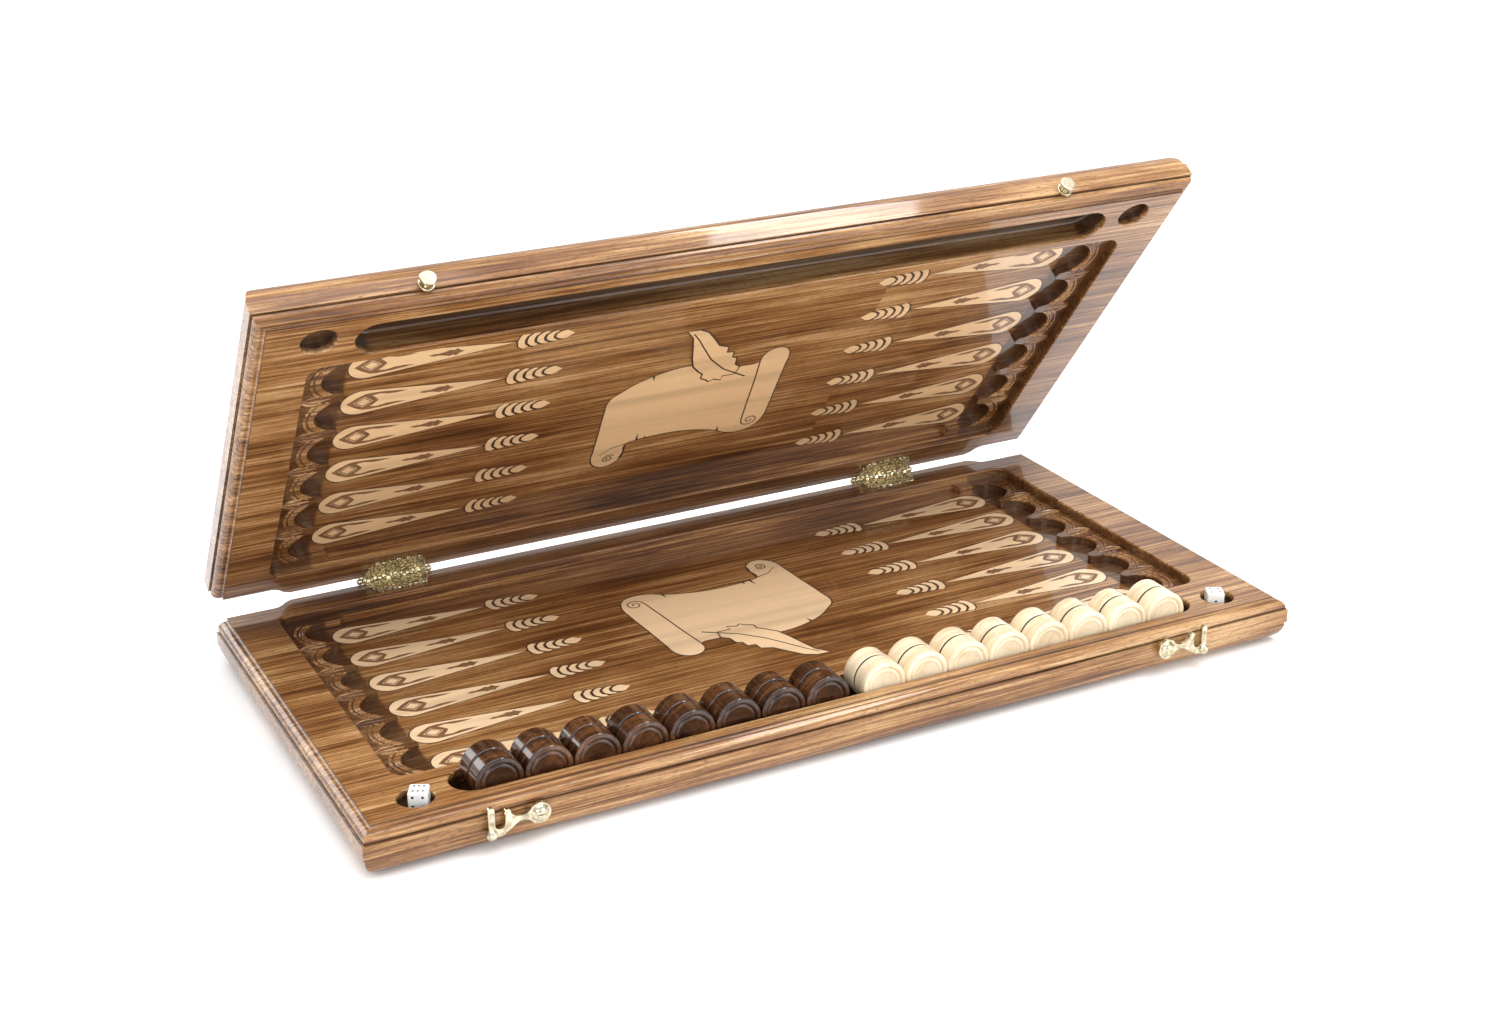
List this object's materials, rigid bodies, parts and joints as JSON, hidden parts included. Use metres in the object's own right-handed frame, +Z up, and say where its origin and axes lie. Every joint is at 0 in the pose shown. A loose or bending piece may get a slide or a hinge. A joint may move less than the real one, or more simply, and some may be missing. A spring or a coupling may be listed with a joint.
{
  "type": "folding backgammon set",
  "caption": "Folding wooden backgammon set: two carved half boards on brass hinges with hook latches, turned checkers standing in a trough and two dice in wells.",
  "frame": {"origin": "centre of the lower half's flat underside, which the set rests on", "axes": "+X along the board's length, +Y towards the hinge, +Z up; the latches are on the -Y side"},
  "size_m": [0.6, 0.3273, 0.2809],
  "materials": {
    "board_wood": "stained brown with a high-gloss varnish",
    "dark_checker_wood": "dark stained, gloss varnish",
    "light_checker_wood": "pale wood, gloss varnish",
    "white_plastic": "smooth white with black pips",
    "hinge_brass": "embossed, antique brown in the hollows",
    "latch_brass": "pale polished brass"
  },
  "bodies": {
    "lower_half": {"hinge_leaf_lower_left": "hinge_brass", "hinge_leaf_lower_right": "hinge_brass", "hinge_nails_lower_left": "hinge_brass", "hinge_nails_lower_right": "hinge_brass", "hinge_pin_left": "hinge_brass", "hinge_pin_right": "hinge_brass", "hook_screw_left": "latch_brass", "hook_screw_right": "latch_brass", "lower_board": "board_wood"},
    "lid_half": {"catch_stud_left": "latch_brass", "catch_stud_right": "latch_brass", "hinge_leaf_lid_left": "hinge_brass", "hinge_leaf_lid_right": "hinge_brass", "hinge_nails_lid_left": "hinge_brass", "hinge_nails_lid_right": "hinge_brass", "lid_board": "board_wood"},
    "left_hook": {"hook_left": "latch_brass"},
    "right_hook": {"hook_right": "latch_brass"},
    "checker_dark_back_1_piece": {"checker_dark_back_1": "dark_checker_wood"},
    "checker_dark_back_2_piece": {"checker_dark_back_2": "dark_checker_wood"},
    "checker_dark_back_3_piece": {"checker_dark_back_3": "dark_checker_wood"},
    "checker_dark_back_4_piece": {"checker_dark_back_4": "dark_checker_wood"},
    "checker_dark_back_5_piece": {"checker_dark_back_5": "dark_checker_wood"},
    "checker_dark_back_6_piece": {"checker_dark_back_6": "dark_checker_wood"},
    "checker_dark_back_7_piece": {"checker_dark_back_7": "dark_checker_wood"},
    "checker_dark_back_8_piece": {"checker_dark_back_8": "dark_checker_wood"},
    "checker_dark_front_1_piece": {"checker_dark_front_1": "dark_checker_wood"},
    "checker_dark_front_2_piece": {"checker_dark_front_2": "dark_checker_wood"},
    "checker_dark_front_3_piece": {"checker_dark_front_3": "dark_checker_wood"},
    "checker_dark_front_4_piece": {"checker_dark_front_4": "dark_checker_wood"},
    "checker_dark_front_5_piece": {"checker_dark_front_5": "dark_checker_wood"},
    "checker_dark_front_6_piece": {"checker_dark_front_6": "dark_checker_wood"},
    "checker_dark_front_7_piece": {"checker_dark_front_7": "dark_checker_wood"},
    "checker_dark_front_8_piece": {"checker_dark_front_8": "dark_checker_wood"},
    "checker_light_back_1_piece": {"checker_light_back_1": "light_checker_wood"},
    "checker_light_back_2_piece": {"checker_light_back_2": "light_checker_wood"},
    "checker_light_back_3_piece": {"checker_light_back_3": "light_checker_wood"},
    "checker_light_back_4_piece": {"checker_light_back_4": "light_checker_wood"},
    "checker_light_back_5_piece": {"checker_light_back_5": "light_checker_wood"},
    "checker_light_back_6_piece": {"checker_light_back_6": "light_checker_wood"},
    "checker_light_back_7_piece": {"checker_light_back_7": "light_checker_wood"},
    "checker_light_back_8_piece": {"checker_light_back_8": "light_checker_wood"},
    "checker_light_front_1_piece": {"checker_light_front_1": "light_checker_wood"},
    "checker_light_front_2_piece": {"checker_light_front_2": "light_checker_wood"},
    "checker_light_front_3_piece": {"checker_light_front_3": "light_checker_wood"},
    "checker_light_front_4_piece": {"checker_light_front_4": "light_checker_wood"},
    "checker_light_front_5_piece": {"checker_light_front_5": "light_checker_wood"},
    "checker_light_front_6_piece": {"checker_light_front_6": "light_checker_wood"},
    "checker_light_front_7_piece": {"checker_light_front_7": "light_checker_wood"},
    "checker_light_front_8_piece": {"checker_light_front_8": "light_checker_wood"},
    "die_left_piece": {"die_left": "white_plastic"},
    "die_right_piece": {"die_right": "white_plastic"}
  },
  "joints": [
    {"name": "lid_hinge", "type": "hinge", "parent": "lower_half", "child": "lid_half", "pos_m": [0, 0.15, 0.03], "axis": [-1, 0, 0], "range_deg": [-52.4, 127.6]},
    {"name": "left_hook_pivot", "type": "hinge", "parent": "lower_half", "child": "left_hook", "pos_m": [-0.2042, -0.1483, 0.018], "axis": [0, -1, 0], "range_deg": [-90, 12]},
    {"name": "right_hook_pivot", "type": "hinge", "parent": "lower_half", "child": "right_hook", "pos_m": [0.2042, -0.1483, 0.018], "axis": [0, 1, 0], "range_deg": [-90, 12]},
    {"name": "checker_dark_back_1_lift", "type": "slide", "parent": "lower_half", "child": "checker_dark_back_1_piece", "axis": [0, 0, 1], "range_m": [0, 0.03]},
    {"name": "checker_dark_back_2_lift", "type": "slide", "parent": "lower_half", "child": "checker_dark_back_2_piece", "axis": [0, 0, 1], "range_m": [0, 0.03]},
    {"name": "checker_dark_back_3_lift", "type": "slide", "parent": "lower_half", "child": "checker_dark_back_3_piece", "axis": [0, 0, 1], "range_m": [0, 0.03]},
    {"name": "checker_dark_back_4_lift", "type": "slide", "parent": "lower_half", "child": "checker_dark_back_4_piece", "axis": [0, 0, 1], "range_m": [0, 0.03]},
    {"name": "checker_dark_back_5_lift", "type": "slide", "parent": "lower_half", "child": "checker_dark_back_5_piece", "axis": [0, 0, 1], "range_m": [0, 0.03]},
    {"name": "checker_dark_back_6_lift", "type": "slide", "parent": "lower_half", "child": "checker_dark_back_6_piece", "axis": [0, 0, 1], "range_m": [0, 0.03]},
    {"name": "checker_dark_back_7_lift", "type": "slide", "parent": "lower_half", "child": "checker_dark_back_7_piece", "axis": [0, 0, 1], "range_m": [0, 0.03]},
    {"name": "checker_dark_back_8_lift", "type": "slide", "parent": "lower_half", "child": "checker_dark_back_8_piece", "axis": [0, 0, 1], "range_m": [0, 0.03]},
    {"name": "checker_dark_front_1_lift", "type": "slide", "parent": "lower_half", "child": "checker_dark_front_1_piece", "axis": [0, 0, 1], "range_m": [0, 0.03]},
    {"name": "checker_dark_front_2_lift", "type": "slide", "parent": "lower_half", "child": "checker_dark_front_2_piece", "axis": [0, 0, 1], "range_m": [0, 0.03]},
    {"name": "checker_dark_front_3_lift", "type": "slide", "parent": "lower_half", "child": "checker_dark_front_3_piece", "axis": [0, 0, 1], "range_m": [0, 0.03]},
    {"name": "checker_dark_front_4_lift", "type": "slide", "parent": "lower_half", "child": "checker_dark_front_4_piece", "axis": [0, 0, 1], "range_m": [0, 0.03]},
    {"name": "checker_dark_front_5_lift", "type": "slide", "parent": "lower_half", "child": "checker_dark_front_5_piece", "axis": [0, 0, 1], "range_m": [0, 0.03]},
    {"name": "checker_dark_front_6_lift", "type": "slide", "parent": "lower_half", "child": "checker_dark_front_6_piece", "axis": [0, 0, 1], "range_m": [0, 0.03]},
    {"name": "checker_dark_front_7_lift", "type": "slide", "parent": "lower_half", "child": "checker_dark_front_7_piece", "axis": [0, 0, 1], "range_m": [0, 0.03]},
    {"name": "checker_dark_front_8_lift", "type": "slide", "parent": "lower_half", "child": "checker_dark_front_8_piece", "axis": [0, 0, 1], "range_m": [0, 0.03]},
    {"name": "checker_light_back_1_lift", "type": "slide", "parent": "lower_half", "child": "checker_light_back_1_piece", "axis": [0, 0, 1], "range_m": [0, 0.03]},
    {"name": "checker_light_back_2_lift", "type": "slide", "parent": "lower_half", "child": "checker_light_back_2_piece", "axis": [0, 0, 1], "range_m": [0, 0.03]},
    {"name": "checker_light_back_3_lift", "type": "slide", "parent": "lower_half", "child": "checker_light_back_3_piece", "axis": [0, 0, 1], "range_m": [0, 0.03]},
    {"name": "checker_light_back_4_lift", "type": "slide", "parent": "lower_half", "child": "checker_light_back_4_piece", "axis": [0, 0, 1], "range_m": [0, 0.03]},
    {"name": "checker_light_back_5_lift", "type": "slide", "parent": "lower_half", "child": "checker_light_back_5_piece", "axis": [0, 0, 1], "range_m": [0, 0.03]},
    {"name": "checker_light_back_6_lift", "type": "slide", "parent": "lower_half", "child": "checker_light_back_6_piece", "axis": [0, 0, 1], "range_m": [0, 0.03]},
    {"name": "checker_light_back_7_lift", "type": "slide", "parent": "lower_half", "child": "checker_light_back_7_piece", "axis": [0, 0, 1], "range_m": [0, 0.03]},
    {"name": "checker_light_back_8_lift", "type": "slide", "parent": "lower_half", "child": "checker_light_back_8_piece", "axis": [0, 0, 1], "range_m": [0, 0.03]},
    {"name": "checker_light_front_1_lift", "type": "slide", "parent": "lower_half", "child": "checker_light_front_1_piece", "axis": [0, 0, 1], "range_m": [0, 0.03]},
    {"name": "checker_light_front_2_lift", "type": "slide", "parent": "lower_half", "child": "checker_light_front_2_piece", "axis": [0, 0, 1], "range_m": [0, 0.03]},
    {"name": "checker_light_front_3_lift", "type": "slide", "parent": "lower_half", "child": "checker_light_front_3_piece", "axis": [0, 0, 1], "range_m": [0, 0.03]},
    {"name": "checker_light_front_4_lift", "type": "slide", "parent": "lower_half", "child": "checker_light_front_4_piece", "axis": [0, 0, 1], "range_m": [0, 0.03]},
    {"name": "checker_light_front_5_lift", "type": "slide", "parent": "lower_half", "child": "checker_light_front_5_piece", "axis": [0, 0, 1], "range_m": [0, 0.03]},
    {"name": "checker_light_front_6_lift", "type": "slide", "parent": "lower_half", "child": "checker_light_front_6_piece", "axis": [0, 0, 1], "range_m": [0, 0.03]},
    {"name": "checker_light_front_7_lift", "type": "slide", "parent": "lower_half", "child": "checker_light_front_7_piece", "axis": [0, 0, 1], "range_m": [0, 0.03]},
    {"name": "checker_light_front_8_lift", "type": "slide", "parent": "lower_half", "child": "checker_light_front_8_piece", "axis": [0, 0, 1], "range_m": [0, 0.03]},
    {"name": "die_left_lift", "type": "slide", "parent": "lower_half", "child": "die_left_piece", "axis": [0, 0, 1], "range_m": [0, 0.02]},
    {"name": "die_right_lift", "type": "slide", "parent": "lower_half", "child": "die_right_piece", "axis": [0, 0, 1], "range_m": [0, 0.02]}
  ]
}
